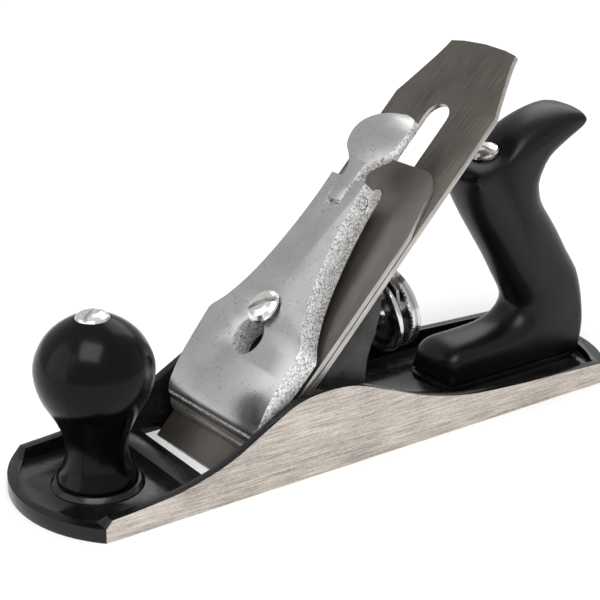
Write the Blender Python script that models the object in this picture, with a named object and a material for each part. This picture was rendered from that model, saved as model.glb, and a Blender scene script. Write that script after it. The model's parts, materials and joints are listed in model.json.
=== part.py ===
"""Bench smoothing plane: casting, frog, iron, cap iron, lever cap, adjusters and handles.

+X runs from toe to heel, +Z is up, and the sole's underside lies on z = 0.
Bed coordinates are (s, y, h): s up the iron from the sole line, h square to its upper face.
"""
import math

import bmesh
import bpy
from mathutils import Matrix, Vector

# Driving dimensions, in metres.
SOLE_LENGTH = 0.236
SOLE_WIDTH = 0.061
TOE_BULGE = 0.0128
HEEL_BULGE = 0.0125
WALL_PEAK = 0.0295
WALL_THICKNESS = 0.0032
FLOOR_THICKNESS = 0.0032
TOE_LIP_HEIGHT = 0.0048
TOE_LIP_WIDTH = 0.004
HEEL_LIP_HEIGHT = 0.0062
HEEL_LIP_WIDTH = 0.005

BED_ANGLE = math.radians(45)
BED_X = -0.055
MOUTH_FRONT_X = -0.0605
PAD_HEIGHT = 0.007
RECEIVER_REAR_X = 0.0095

IRON_WIDTH = 0.0508
IRON_THICKNESS = 0.002
IRON_LENGTH = 0.1748
IRON_EDGE_S = 0.0014
IRON_SKEW = math.radians(2.2)
IRON_PIVOT_S = 0.042
IRON_SLOT_WIDTH = 0.0111
CAP_IRON_THICKNESS = 0.0019
CAP_IRON_EDGE_S = 0.0118
CAP_IRON_TOP_S = 0.124
CAP_SCREW_S = 0.109
HUMP_HEIGHT = 0.0056

FROG_WIDTH = 0.044
FROG_PLATE = 0.0097
FROG_TOP_S = 0.0985
FROG_NECK_WIDTH = 0.017
FROG_REAR_X = -0.0006
FROG_FOOT_X = 0.008
FROG_FOOT_HEIGHT = 0.016
FROG_SLIDE_BACK = 0.0005
FROG_SCREW_X = -0.030
FROG_SCREW_Y = 0.013
FROG_SCREW_RADIUS = 0.0025
ADJUSTER_Z = 0.0112
CLIP_SCREW_Z = 0.0215

WHEEL_X = 0.024
WHEEL_Z = 0.0378
WHEEL_TILT = math.radians(10)
WHEEL_RADIUS = 0.015
WHEEL_HALF_LENGTH = 0.005
WHEEL_HUB_RADIUS = 0.0065
STUD_RADIUS = 0.003
STUD_ROOT = -0.0275
YOKE_ARM = 0.0215
YOKE_THICKNESS = 0.0012
YOKE_GROOVE = 0.0032
GROOVE_ALONG = -0.0010
YOKE_PIN_RADIUS = 0.002

LEVER_CAP_WIDTH = 0.0510
LEVER_CAP_LIP_S = 0.0155
LEVER_CAP_SHOULDER_S = 0.0472
LEVER_CAP_TOP_S = 0.107
LEVER_CAP_TOP_WIDTH = 0.0175
LEVER_CAP_SCREW_S = 0.055
LEVER_CAP_SCREW_RADIUS = 0.0035
LEVER_CAP_SCREW_HEAD = 0.0064
KEYHOLE_TRAVEL = 0.0107
KEYHOLE_RADIUS = 0.00675
CAM_PIN_S = 0.1015
CAM_PIN_H = 0.0126
CAM_PIN_RADIUS = 0.002
CAM_WIDTH = 0.0064
CAM_SLOT_S = 0.0959
RIVET_S = 0.078
RIVET_RADIUS = 0.0016

KNOB_X = -0.091
KNOB_RADIUS = 0.0192
KNOB_HEIGHT = 0.0553
KNOB_NUT_RADIUS = 0.0056
BOLT_RADIUS = 0.0024
NUT_BARREL_RADIUS = 0.0036

TOTE_X = 0.046
TOTE_WIDTH = 0.0225
TOTE_FOOT_LENGTH = 0.0655
TOTE_BOLT_TILT = math.radians(19)
TOTE_NUT_X = 0.0667
TOTE_NUT_Z = 0.0880

# Clearances.
SEAT_GAP = 0.0003
RUNNING_GAP = 0.0003
LOOSE_GAP = 0.0005
CUT_OVER = 0.002

# Worked out from the sizes above.
HALF_LENGTH = SOLE_LENGTH / 2
HALF_WIDTH = SOLE_WIDTH / 2
INNER_HALF_WIDTH = HALF_WIDTH - WALL_THICKNESS
BED_FACE_H = -IRON_THICKNESS - SEAT_GAP
CAP_TOP_H = SEAT_GAP + CAP_IRON_THICKNESS
FROG_BASE_Z = PAD_HEIGHT + SEAT_GAP
FROG_BACK_H = BED_FACE_H - FROG_PLATE
TOTE_PAD_HEIGHT = FLOOR_THICKNESS + 0.0018
KNOB_PAD_HEIGHT = FLOOR_THICKNESS + 0.0018


def clear_scene():
    for item in list(bpy.data.objects):
        bpy.data.objects.remove(item, do_unlink=True)


def make_material(name, colour, roughness, metallic):
    material = bpy.data.materials.new(name)
    material.use_nodes = True
    shader = material.node_tree.nodes["Principled BSDF"]
    shader.inputs["Base Color"].default_value = (*colour, 1)
    shader.inputs["Roughness"].default_value = roughness
    shader.inputs["Metallic"].default_value = metallic
    return material


def make_empty(name, matrix):
    empty = bpy.data.objects.new(name, None)
    empty.matrix_basis = matrix
    bpy.context.collection.objects.link(empty)
    return empty


def make_object(name, mesh_data, material=None, parent=None):
    """Turn a bmesh into an object that keeps its own coordinates under its parent."""
    mesh_data.normal_update()
    bmesh.ops.recalc_face_normals(mesh_data, faces=mesh_data.faces)
    if mesh_data.calc_volume(signed=True) < 0:
        bmesh.ops.reverse_faces(mesh_data, faces=mesh_data.faces)
    mesh = bpy.data.meshes.new(name)
    mesh_data.to_mesh(mesh)
    mesh_data.free()
    item = bpy.data.objects.new(name, mesh)
    bpy.context.collection.objects.link(item)
    item.parent = parent
    if material:
        mesh.materials.append(material)
        mesh.shade_smooth()
        mesh.set_sharp_from_angle(angle=math.radians(35))
    return item


def combine(target, operation, name, mesh_data):
    """Boolean the target with a hidden helper shape in the target's own coordinates."""
    helper = make_object(name, mesh_data, parent=target.parent)
    helper.matrix_basis = target.matrix_basis
    helper.hide_render = True
    helper.display_type = 'WIRE'
    modifier = target.modifiers.new(name, 'BOOLEAN')
    modifier.operation = operation
    modifier.solver = 'EXACT'
    modifier.object = helper
    return helper


def cut(target, name, mesh_data):
    return combine(target, 'DIFFERENCE', name, mesh_data)


def add(target, name, mesh_data):
    return combine(target, 'UNION', name, mesh_data)


def keep_inside(target, name, mesh_data):
    return combine(target, 'INTERSECT', name, mesh_data)


def prism(outline, low, high, plane):
    """Extrude a closed outline: 'XY' goes up Z, and 'XZ' goes along Y."""
    mesh_data = bmesh.new()
    if plane == 'XY':
        corners = [Vector((a, b, low)) for a, b in outline]
        travel = Vector((0, 0, high - low))
    else:
        corners = [Vector((a, low, b)) for a, b in outline]
        travel = Vector((0, high - low, 0))
    face = mesh_data.faces.new([mesh_data.verts.new(corner) for corner in corners])
    grown = bmesh.ops.extrude_face_region(mesh_data, geom=[face])
    moved = [item for item in grown["geom"] if isinstance(item, bmesh.types.BMVert)]
    bmesh.ops.translate(mesh_data, verts=moved, vec=travel)
    return mesh_data


def box(low, high):
    outline = [(low[0], low[1]), (high[0], low[1]), (high[0], high[1]), (low[0], high[1])]
    return prism(outline, low[2], high[2], 'XY')


def frame_along(origin, direction):
    """A placement whose local Z points along the direction."""
    turn = Vector(direction).to_track_quat('Z', 'Y').to_matrix().to_4x4()
    return Matrix.Translation(Vector(origin)) @ turn


def lathe(profile, steps, placement=None):
    """Turn (radius, height) points about local Z; both ends close on the axis or on each other."""
    mesh_data = bmesh.new()
    verts = [mesh_data.verts.new((radius, 0, height)) for radius, height in profile]
    pairs = list(zip(verts, verts[1:]))
    if profile[0][0] > 0 and profile[-1][0] > 0:
        pairs.append((verts[-1], verts[0]))
    edges = [mesh_data.edges.new(pair) for pair in pairs if pair[0].co.x > 0 or pair[1].co.x > 0]
    bmesh.ops.spin(
        mesh_data, geom=verts + edges, cent=(0, 0, 0), axis=(0, 0, 1),
        angle=math.tau, steps=steps, use_merge=True)
    bmesh.ops.remove_doubles(mesh_data, verts=mesh_data.verts, dist=1e-6)
    poles = [vert for vert in mesh_data.verts if vert.co.xy.length < 1e-7]
    bmesh.ops.dissolve_verts(mesh_data, verts=poles)
    if placement:
        mesh_data.transform(placement)
    return mesh_data


def rod(radius, start, end, steps=24):
    start = Vector(start)
    end = Vector(end)
    length = (end - start).length
    profile = [(0, 0), (radius, 0), (radius, length), (0, length)]
    return lathe(profile, steps, frame_along(start, end - start))


def smooth_path(knots, steps):
    """Points along a curve that passes through every knot."""
    points = []
    padded = [knots[0]] + list(knots) + [knots[-1]]
    for before, start, end, after in zip(padded, padded[1:], padded[2:], padded[3:]):
        for step in range(steps):
            t = step / steps
            points.append(tuple(
                0.5 * (2 * b + (c - a) * t + (2 * a - 5 * b + 4 * c - d) * t * t
                       + (3 * b - a - 3 * c + d) * t ** 3)
                for a, b, c, d in zip(before, start, end, after)))
    points.append(tuple(knots[-1]))
    return points


def arc(centre, radius, start, end, steps):
    """Points on a circle from one angle to another, in radians."""
    return [
        (centre[0] + radius * math.cos(start + (end - start) * step / steps),
         centre[1] + radius * math.sin(start + (end - start) * step / steps))
        for step in range(steps + 1)]


def rounded_slot(start, end, radius, steps=10):
    """A slot's outline along the first coordinate, centred on the second."""
    right = arc((end, 0), radius, -math.pi / 2, math.pi / 2, steps)
    left = arc((start, 0), radius, math.pi / 2, math.pi * 3 / 2, steps)
    return right + left


def bed_to_world(s, h):
    """World (x, z) of a point in the bed's middle plane."""
    x = BED_X + s * math.cos(BED_ANGLE) - h * math.sin(BED_ANGLE)
    z = s * math.sin(BED_ANGLE) + h * math.cos(BED_ANGLE)
    return x, z


def bed_matrix():
    return Matrix.Translation((BED_X, 0, 0)) @ Matrix.Rotation(-BED_ANGLE, 4, 'Y')


def skewed_matrix(pivot_s):
    """The bed's frame turned by the iron's skew, about a point on the bed."""
    there = Matrix.Translation((pivot_s, 0, 0))
    return bed_matrix() @ there @ Matrix.Rotation(IRON_SKEW, 4, 'Z')


def plan_outline(half_width, toe_x, toe_bulge, heel_x, heel_bulge):
    """The sole seen from above: straight sides with an arc at each end."""
    toe_radius = (half_width ** 2 + toe_bulge ** 2) / (2 * toe_bulge)
    heel_radius = (half_width ** 2 + heel_bulge ** 2) / (2 * heel_bulge)
    toe_half = math.asin(half_width / toe_radius)
    heel_half = math.asin(half_width / heel_radius)
    toe = arc((toe_x + toe_radius, 0), toe_radius, math.pi - toe_half, math.pi + toe_half, 20)
    heel = arc((heel_x - heel_radius, 0), heel_radius, -heel_half, heel_half, 20)
    return toe + heel


def wall_top():
    """The side walls' upper edge, from toe corner to heel corner."""
    toe_corner = -HALF_LENGTH + TOE_BULGE
    heel_corner = HALF_LENGTH - HEEL_BULGE
    peak = WALL_PEAK
    knots = [
        (toe_corner + 0.0022, 0.0073), (-0.088, 0.0083), (-0.076, 0.0099), (-0.060, 0.0146),
        (-0.045, peak - 0.0070), (-0.034, peak - 0.0016), (-0.022, peak), (-0.010, peak - 0.0013),
        (0.004, peak - 0.0066), (0.020, 0.0168), (0.038, 0.0124), (0.060, 0.0102),
        (0.084, 0.0089), (heel_corner - 0.003, 0.0080)]
    return knots


def make_body(iron_paint):
    toe_corner = -HALF_LENGTH + TOE_BULGE
    heel_corner = HALF_LENGTH - HEEL_BULGE
    side = [(-HALF_LENGTH - CUT_OVER, 0), (-HALF_LENGTH - CUT_OVER, TOE_LIP_HEIGHT),
            (toe_corner, TOE_LIP_HEIGHT)]
    side += smooth_path(wall_top(), 4)
    side += [(heel_corner, HEEL_LIP_HEIGHT), (HALF_LENGTH + CUT_OVER, HEEL_LIP_HEIGHT),
             (HALF_LENGTH + CUT_OVER, 0)]
    body = make_object("body_casting", prism(side, -HALF_WIDTH - CUT_OVER, HALF_WIDTH + CUT_OVER, 'XZ'),
                       iron_paint)
    plan = plan_outline(HALF_WIDTH, -HALF_LENGTH, TOE_BULGE, HALF_LENGTH, HEEL_BULGE)
    keep_inside(body, "guide_plan", prism(plan, -CUT_OVER, WALL_PEAK + CUT_OVER, 'XY'))
    hollow = plan_outline(
        INNER_HALF_WIDTH, -HALF_LENGTH + TOE_LIP_WIDTH, TOE_BULGE - 0.0013,
        HALF_LENGTH - HEEL_LIP_WIDTH, HEEL_BULGE - 0.0013)
    cut(body, "cut_hollow", prism(hollow, FLOOR_THICKNESS, WALL_PEAK + CUT_OVER, 'XY'))
    add_casting_details(body)
    cut_casting_holes(body)
    return body


def add_casting_details(body):
    inside = INNER_HALF_WIDTH + WALL_THICKNESS / 2
    below = FLOOR_THICKNESS / 2
    rib_front = MOUTH_FRONT_X - 0.0115
    rib_rear = MOUTH_FRONT_X - 0.0055
    add(body, "form_cross_rib", box((rib_front, -inside, below), (rib_rear, inside, 0.006)))
    mouth_rear = mouth_ramp_x(0) - 0.001
    add(body, "form_receiver",
        box((mouth_rear, -inside, below), (mouth_ramp_x(PAD_HEIGHT) + 0.006, inside, PAD_HEIGHT)))
    add(body, "form_frog_pad",
        box((mouth_ramp_x(PAD_HEIGHT) + 0.004, -0.0175, below), (RECEIVER_REAR_X, 0.0175, PAD_HEIGHT)))
    add(body, "form_adjuster_lug", box((-0.017, -0.004, below), (-0.006, 0.004, ADJUSTER_Z + 0.0045)))
    add(body, "form_knob_boss", lathe([
        (0, below), (0.0152, below), (0.0152, FLOOR_THICKNESS + 0.0004),
        (0.0139, KNOB_PAD_HEIGHT), (0, KNOB_PAD_HEIGHT)], 40, Matrix.Translation((KNOB_X, 0, 0))))
    pad = rounded_pad(TOTE_X - 0.0012, TOTE_X + TOTE_FOOT_LENGTH + 0.0012, TOTE_WIDTH / 2 + 0.0016)
    add(body, "form_tote_pad", prism(pad, below, TOTE_PAD_HEIGHT, 'XY'))


def rounded_pad(start, end, half_width):
    """A pad outline with a tight round at the front and a full round at the rear."""
    front = 0.008
    rear = half_width * 0.9
    outline = arc((end - rear, half_width - rear), rear, 0, math.pi / 2, 6)
    outline += arc((start + front, half_width - front), front, math.pi / 2, math.pi, 6)
    outline += arc((start + front, front - half_width), front, math.pi, math.pi * 3 / 2, 6)
    outline += arc((end - rear, rear - half_width), rear, -math.pi / 2, 0, 6)
    return outline


def mouth_ramp_x(z):
    """The mouth's rear wall, parallel to the iron with room for the frog to slide back."""
    under_iron = BED_FACE_H - FROG_SLIDE_BACK - SEAT_GAP
    return BED_X - under_iron / math.sin(BED_ANGLE) + z / math.tan(BED_ANGLE)


def cut_casting_holes(body):
    top = PAD_HEIGHT + CUT_OVER
    mouth = [(MOUTH_FRONT_X, -CUT_OVER), (mouth_ramp_x(-CUT_OVER), -CUT_OVER),
             (mouth_ramp_x(top), top), (MOUTH_FRONT_X, top)]
    cut(body, "cut_mouth", prism(mouth, -INNER_HALF_WIDTH + 0.0001, INNER_HALF_WIDTH - 0.0001, 'XZ'))
    hole = BOLT_RADIUS + RUNNING_GAP
    for side in (-1, 1):
        cut(body, "cut_frog_screw_hole", rod(
            FROG_SCREW_RADIUS + RUNNING_GAP,
            (FROG_SCREW_X, side * FROG_SCREW_Y, 0.0012),
            (FROG_SCREW_X, side * FROG_SCREW_Y, top), 20))
    cut(body, "cut_adjuster_hole", rod(
        FROG_SCREW_RADIUS + RUNNING_GAP, (-0.019, 0, ADJUSTER_Z), (-0.004, 0, ADJUSTER_Z), 20))
    cut(body, "cut_knob_bolt_hole", rod(hole, (KNOB_X, 0, 0.0012), (KNOB_X, 0, top), 20))
    low = tote_bolt_point(0.0014)
    high = tote_bolt_point(0.012)
    cut(body, "cut_tote_bolt_hole", rod(hole, low, high, 20))


def tote_bolt_point(z):
    """A point on the handle bolt's leaning axis at the given height."""
    return (TOTE_NUT_X + (TOTE_NUT_Z - z) * math.tan(TOTE_BOLT_TILT), 0, z)


def frog_profile():
    bed_low_x = BED_X - BED_FACE_H / math.sin(BED_ANGLE) + FROG_BASE_Z
    back_x = BED_X - FROG_BACK_H / math.sin(BED_ANGLE)
    return [
        (bed_low_x, FROG_BASE_Z), (FROG_FOOT_X, FROG_BASE_Z), (FROG_FOOT_X, FROG_FOOT_HEIGHT),
        (FROG_REAR_X, FROG_FOOT_HEIGHT), (FROG_REAR_X, 0.0270), (FROG_REAR_X + 0.0006, 0.0322),
        (FROG_REAR_X + 0.0022, 0.0375), (0.0420 + back_x, 0.0420),
        bed_to_world(FROG_TOP_S, FROG_BACK_H), bed_to_world(FROG_TOP_S, BED_FACE_H)]


def wheel_point(along, above=0):
    """World (x, y, z) on the wheel's axis, with an offset square to it in the middle plane."""
    x = WHEEL_X + along * math.cos(WHEEL_TILT) - above * math.sin(WHEEL_TILT)
    z = WHEEL_Z + along * math.sin(WHEEL_TILT) + above * math.cos(WHEEL_TILT)
    return x, 0, z


def yoke_pin_point():
    return wheel_point(GROOVE_ALONG, YOKE_ARM)


def world_to_bed(x, z):
    s = (x - BED_X) * math.cos(BED_ANGLE) + z * math.sin(BED_ANGLE)
    h = z * math.cos(BED_ANGLE) - (x - BED_X) * math.sin(BED_ANGLE)
    return s, h


def make_frog(cast_iron):
    half = FROG_WIDTH / 2
    frog = make_object("frog", prism(frog_profile(), -half, half, 'XZ'), cast_iron)
    pin_x, _, pin_z = yoke_pin_point()
    pin_s, pin_h = world_to_bed(pin_x, pin_z)
    neck = FROG_NECK_WIDTH / 2
    for side in (-1, 1):
        edge = smooth_path([(0.066, half + CUT_OVER), (0.070, half), (0.078, half - 0.0045),
                            (0.086, neck + 0.0025), (0.0935, neck),
                            (FROG_TOP_S + CUT_OVER, neck)], 4)
        corner = [(FROG_TOP_S + CUT_OVER, half + CUT_OVER)]
        shape = [(s, side * y) for s, y in edge + corner]
        flank = prism(shape, BED_FACE_H - 0.030, CUT_OVER, 'XY')
        flank.transform(bed_matrix())
        cut(frog, "cut_frog_flank", flank)
        ear = box((pin_s - 0.0042, min(side * 0.0062, side * neck), pin_h - 0.0033),
                  (FROG_TOP_S, max(side * 0.0062, side * neck), BED_FACE_H - 0.004))
        ear.transform(bed_matrix())
        add(frog, "form_frog_ear", ear)
    slot = box((pin_s - 0.0078, -0.0060, pin_h - 0.012), (FROG_TOP_S + CUT_OVER, 0.0060, CUT_OVER))
    slot.transform(bed_matrix())
    cut(frog, "cut_yoke_slot", slot)
    cut(frog, "cut_yoke_pin_hole", rod(
        YOKE_PIN_RADIUS + RUNNING_GAP, (pin_x, -half, pin_z), (pin_x, half, pin_z), 20))
    cut_frog_recesses(frog)
    return frog


def cut_frog_recesses(frog):
    shoulder = FROG_BASE_Z + 0.004
    reach = 0.005
    for side in (-1, 1):
        centre = (FROG_SCREW_X, side * FROG_SCREW_Y)
        pocket = rounded_slot(-0.0025, 0.0025, 0.0062)
        pocket = [(centre[0] + x, centre[1] + y) for x, y in pocket]
        cut(frog, "cut_frog_screw_pocket", prism(pocket, shoulder, 0.040, 'XY'))
        slot = rounded_slot(-reach / 2, reach / 2, FROG_SCREW_RADIUS + LOOSE_GAP)
        slot = [(centre[0] + x, centre[1] + y) for x, y in slot]
        cut(frog, "cut_frog_screw_slot", prism(slot, 0, shoulder + CUT_OVER, 'XY'))
        roof = BED_X - (FROG_BACK_H + 0.0008) / math.sin(BED_ANGLE)
        hollow = [(FROG_FOOT_X + CUT_OVER, 0.012), (FROG_FOOT_X + CUT_OVER, 0.033),
                  (0.033 + roof, 0.033), (0.017 + roof, 0.017), (0.017 + roof, 0.012)]
        cut(frog, "cut_frog_hollow", prism(hollow, min(side * 0.007, side * 0.018),
                                           max(side * 0.007, side * 0.018), 'XZ'))
    tunnel = [(-0.020, 0), (FROG_FOOT_X + CUT_OVER, 0), (FROG_FOOT_X + CUT_OVER, ADJUSTER_Z + 0.005),
              (-0.020, ADJUSTER_Z + 0.005)]
    cut(frog, "cut_adjuster_tunnel", prism(tunnel, -0.005, 0.005, 'XZ'))
    hole = rod(LEVER_CAP_SCREW_RADIUS + RUNNING_GAP, (LEVER_CAP_SCREW_S, 0, -0.0085),
               (LEVER_CAP_SCREW_S, 0, CUT_OVER), 24)
    hole.transform(bed_matrix())
    cut(frog, "cut_lever_cap_screw_hole", hole)
    cut(frog, "cut_stud_hole", rod(
        STUD_RADIUS + RUNNING_GAP, wheel_point(STUD_ROOT - 0.0022), wheel_point(-0.020), 24))
    cut(frog, "cut_clip_screw_hole", rod(
        0.0015 + RUNNING_GAP, (FROG_REAR_X - 0.005, 0, CLIP_SCREW_Z),
        (FROG_REAR_X + CUT_OVER, 0, CLIP_SCREW_Z), 16))


def make_frog_fasteners(steel, bright_steel):
    shoulder = FROG_BASE_Z + 0.004 + SEAT_GAP
    washer_top = shoulder + 0.0012
    head_base = washer_top + SEAT_GAP
    for side, name in ((-1, "left"), (1, "right")):
        place = Matrix.Translation((FROG_SCREW_X, side * FROG_SCREW_Y, 0))
        ring = lathe([(FROG_SCREW_RADIUS + RUNNING_GAP, shoulder), (0.0054, shoulder),
                      (0.0054, washer_top), (FROG_SCREW_RADIUS + RUNNING_GAP, washer_top)], 28, place)
        make_object("frog_washer_" + name, ring, steel)
        screw = lathe([(0, 0.0016), (FROG_SCREW_RADIUS, 0.0016), (FROG_SCREW_RADIUS, head_base),
                       (0.0044, head_base), (0.0044, head_base + 0.0022),
                       (0.0034, head_base + 0.0030), (0, head_base + 0.0030)], 28, place)
        item = make_object("frog_screw_" + name, screw, bright_steel)
        notch = box((-0.006, -0.0005, head_base + 0.0016), (0.006, 0.0005, head_base + 0.006))
        notch.transform(place)
        cut(item, "cut_frog_screw_notch", notch)


def make_frog_adjuster(steel, bright_steel):
    clip_front = FROG_FOOT_X + SEAT_GAP
    clip_rear = clip_front + 0.0015
    neck_front = clip_front - 0.0007
    head = clip_rear + SEAT_GAP
    head_radius = ADJUSTER_Z - PAD_HEIGHT - RUNNING_GAP
    screw = lathe([(0, -0.0185), (FROG_SCREW_RADIUS, -0.0185), (FROG_SCREW_RADIUS, neck_front),
                   (0.0017, neck_front), (0.0017, head), (head_radius, head),
                   (head_radius, head + 0.0034), (head_radius - 0.0006, head + 0.0040),
                   (0, head + 0.0040)], 28,
                  frame_along((0, 0, ADJUSTER_Z), (1, 0, 0)))
    item = make_object("frog_adjusting_screw", screw, bright_steel)
    cut(item, "cut_adjuster_notch", box((head + 0.0020, -0.0006, ADJUSTER_Z - 0.006),
                                        (head + 0.006, 0.0006, ADJUSTER_Z + 0.006)))

    step = FROG_FOOT_HEIGHT + SEAT_GAP
    plate = FROG_REAR_X + SEAT_GAP
    side = [(plate, CLIP_SCREW_Z + 0.0045), (plate, step), (clip_front, step),
            (clip_front, ADJUSTER_Z - 0.004), (clip_rear, ADJUSTER_Z - 0.004),
            (clip_rear, step + 0.0015), (plate + 0.0015, step + 0.0015),
            (plate + 0.0015, CLIP_SCREW_Z + 0.0045)]
    clip = make_object("frog_clip", prism(side, -0.0046, 0.0046, 'XZ'), steel)
    fork = [(0.0017 + RUNNING_GAP, -0.006), (0.0017 + RUNNING_GAP, 0)]
    fork = [(y, ADJUSTER_Z + z) for y, z in fork]
    crown = arc((0, ADJUSTER_Z), 0.0017 + RUNNING_GAP, 0, math.pi, 8)
    throat = [fork[0]] + crown + [(-fork[0][0], fork[0][1])]
    gap = bmesh.new()
    face = gap.faces.new([gap.verts.new((clip_front - CUT_OVER, y, z)) for y, z in throat])
    grown = bmesh.ops.extrude_face_region(gap, geom=[face])
    moved = [v for v in grown["geom"] if isinstance(v, bmesh.types.BMVert)]
    bmesh.ops.translate(gap, verts=moved, vec=(0.008, 0, 0))
    cut(clip, "cut_clip_fork", gap)
    cut(clip, "cut_clip_hole", rod(0.0015 + RUNNING_GAP, (plate - CUT_OVER, 0, CLIP_SCREW_Z),
                                   (plate + 0.004, 0, CLIP_SCREW_Z), 16))
    cap = plate + 0.0015 + SEAT_GAP
    small = lathe([(0, FROG_REAR_X - 0.0045), (0.0015, FROG_REAR_X - 0.0045), (0.0015, cap),
                   (0.003, cap), (0.003, cap + 0.0014), (0.002, cap + 0.002), (0, cap + 0.002)],
                  20, frame_along((0, 0, CLIP_SCREW_Z), (1, 0, 0)))
    make_object("frog_clip_screw", small, bright_steel)


def make_yoke(steel, bright_steel):
    pin_x, _, pin_z = yoke_pin_point()
    pin_s, pin_h = world_to_bed(pin_x, pin_z)
    barrel = 0.0033
    placement = Matrix.Translation((pin_x, 0, pin_z))
    hub = rod(barrel, (0, -0.0056, 0), (0, 0.0056, 0), 28)
    yoke = make_object("y_lever", hub, steel)
    yoke.matrix_basis = placement
    reach = CAP_TOP_H - pin_h
    nib = 0.002
    arm = [(-nib, 0)] + [(x, z) for x, z in arc((0, reach - nib), nib, math.pi, 0, 8)] + [(nib, 0)]
    upper = prism(arm, -0.0022, 0.0022, 'XZ')
    upper.transform(Matrix.Rotation(-BED_ANGLE, 4, 'Y'))
    add(yoke, "form_yoke_upper_arm", upper)

    half = YOKE_THICKNESS / 2
    tip = YOKE_ARM - 0.005
    hub_clear = WHEEL_HUB_RADIUS + LOOSE_GAP
    outer = 0.0108
    plate = [(-0.0052, 0), (-0.0052, -0.0060), (-outer, -0.0105), (-outer, -tip), (-hub_clear, -tip)]
    plate += [(y, z - YOKE_ARM) for y, z in
              arc((0, 0), hub_clear + 0.0001, math.pi - math.asin(0.005 / hub_clear),
                  math.asin(0.005 / hub_clear), 10)]
    plate += [(hub_clear, -tip), (outer, -tip), (outer, -0.0105), (0.0052, -0.0060), (0.0052, 0)]
    fork = bmesh.new()
    face = fork.faces.new([fork.verts.new((-half, y, z)) for y, z in plate])
    grown = bmesh.ops.extrude_face_region(fork, geom=[face])
    moved = [v for v in grown["geom"] if isinstance(v, bmesh.types.BMVert)]
    bmesh.ops.translate(fork, verts=moved, vec=(YOKE_THICKNESS, 0, 0))
    fork.transform(Matrix.Rotation(-WHEEL_TILT, 4, 'Y'))
    add(yoke, "form_yoke_fork", fork)
    cut(yoke, "cut_yoke_bore", rod(YOKE_PIN_RADIUS + RUNNING_GAP, (0, -0.01, 0), (0, 0.01, 0), 20))
    half_pin = FROG_NECK_WIDTH / 2
    make_object("y_lever_pin", rod(YOKE_PIN_RADIUS, (pin_x, -half_pin, pin_z),
                                   (pin_x, half_pin, pin_z), 20), bright_steel)


def make_depth_wheel(chrome, steel):
    rim = WHEEL_RADIUS
    hub = WHEEL_HUB_RADIUS
    bore = STUD_RADIUS + RUNNING_GAP
    groove_front = GROOVE_ALONG - YOKE_GROOVE / 2
    groove_rear = GROOVE_ALONG + YOKE_GROOVE / 2
    front = -WHEEL_HALF_LENGTH
    rear = WHEEL_HALF_LENGTH
    waist = groove_rear + 0.0020
    profile = [
        (bore, front + 0.0002), (hub - 0.0016, front + 0.0002), (hub - 0.0008, front + 0.0012),
        (rim - 0.0040, front + 0.0014), (rim - 0.0022, front + 0.0004), (rim - 0.0012, front),
        (rim - 0.0004, front + 0.0003), (rim, front + 0.0009), (rim, groove_front - 0.0006),
        (rim - 0.0006, groove_front), (hub, groove_front), (hub, groove_rear),
        (rim - 0.0006, groove_rear), (rim, groove_rear + 0.0005), (rim, waist - 0.0006),
        (rim - 0.0011, waist), (rim, waist + 0.0006), (rim, rear - 0.0007),
        (rim - 0.0007, rear), (rim - 0.0020, rear), (rim - 0.0034, rear - 0.0013),
        (hub + 0.0006, rear - 0.0013), (hub - 0.0008, rear), (bore, rear)]
    place = Matrix(frame_along(wheel_point(0), (math.cos(WHEEL_TILT), 0, math.sin(WHEEL_TILT))))
    wheel = make_object("depth_wheel", lathe(profile, 48), chrome)
    wheel.matrix_basis = place
    stud = lathe([(0, STUD_ROOT), (STUD_RADIUS, STUD_ROOT), (STUD_RADIUS, 0.0082),
                  (STUD_RADIUS - 0.0006, 0.009), (0, 0.009)], 24)
    item = make_object("depth_stud", stud, steel)
    item.matrix_basis = place


def iron_outline():
    half = IRON_WIDTH / 2
    top = IRON_EDGE_S + IRON_LENGTH
    knots = [(0.150, half), (0.1545, half - 0.0020), (0.160, half - 0.0042), (0.166, half - 0.0066),
             (0.171, half - 0.0083), (top - 0.0016, half - 0.0092)]
    right = [(IRON_EDGE_S, half)] + smooth_path(knots, 4)
    crown = [(top - 0.0006, half - 0.015), (top, 0), (top - 0.0006, 0.015 - half)]
    left = [(s, -y) for s, y in reversed(right)]
    return right + crown + left


def make_iron_set(iron_steel, cap_steel, bright_steel):
    frame = make_empty("iron_set", skewed_matrix(IRON_PIVOT_S))
    shift = Matrix.Translation((-IRON_PIVOT_S, 0, 0))
    half = IRON_WIDTH / 2
    iron_mesh = prism(iron_outline(), -IRON_THICKNESS, 0, 'XY')
    iron_mesh.transform(shift)
    iron = make_object("plane_iron", iron_mesh, iron_steel, frame)
    bevel = 0.0042
    wedge = prism([(IRON_EDGE_S - 0.001, -0.0004), (IRON_EDGE_S - 0.001, -0.004),
                   (IRON_EDGE_S + bevel * 2, -0.004), (IRON_EDGE_S + bevel, -IRON_THICKNESS),
                   (IRON_EDGE_S, -0.0002)], -half - CUT_OVER, half + CUT_OVER, 'XZ')
    wedge.transform(shift)
    cut(iron, "cut_iron_bevel", wedge)
    slot_radius = IRON_SLOT_WIDTH / 2
    slot = prism(rounded_slot(0.052, 0.150 - slot_radius, slot_radius), -0.006, 0.004, 'XY')
    slot.transform(shift)
    cut(iron, "cut_iron_slot", slot)
    eye = prism(arc((0.0525, 0), 0.0084, 0, math.tau * 31 / 32, 31), -0.006, 0.004, 'XY')
    eye.transform(shift)
    cut(iron, "cut_iron_eye", eye)
    make_cap_iron(frame, shift, cap_steel, bright_steel)


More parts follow.
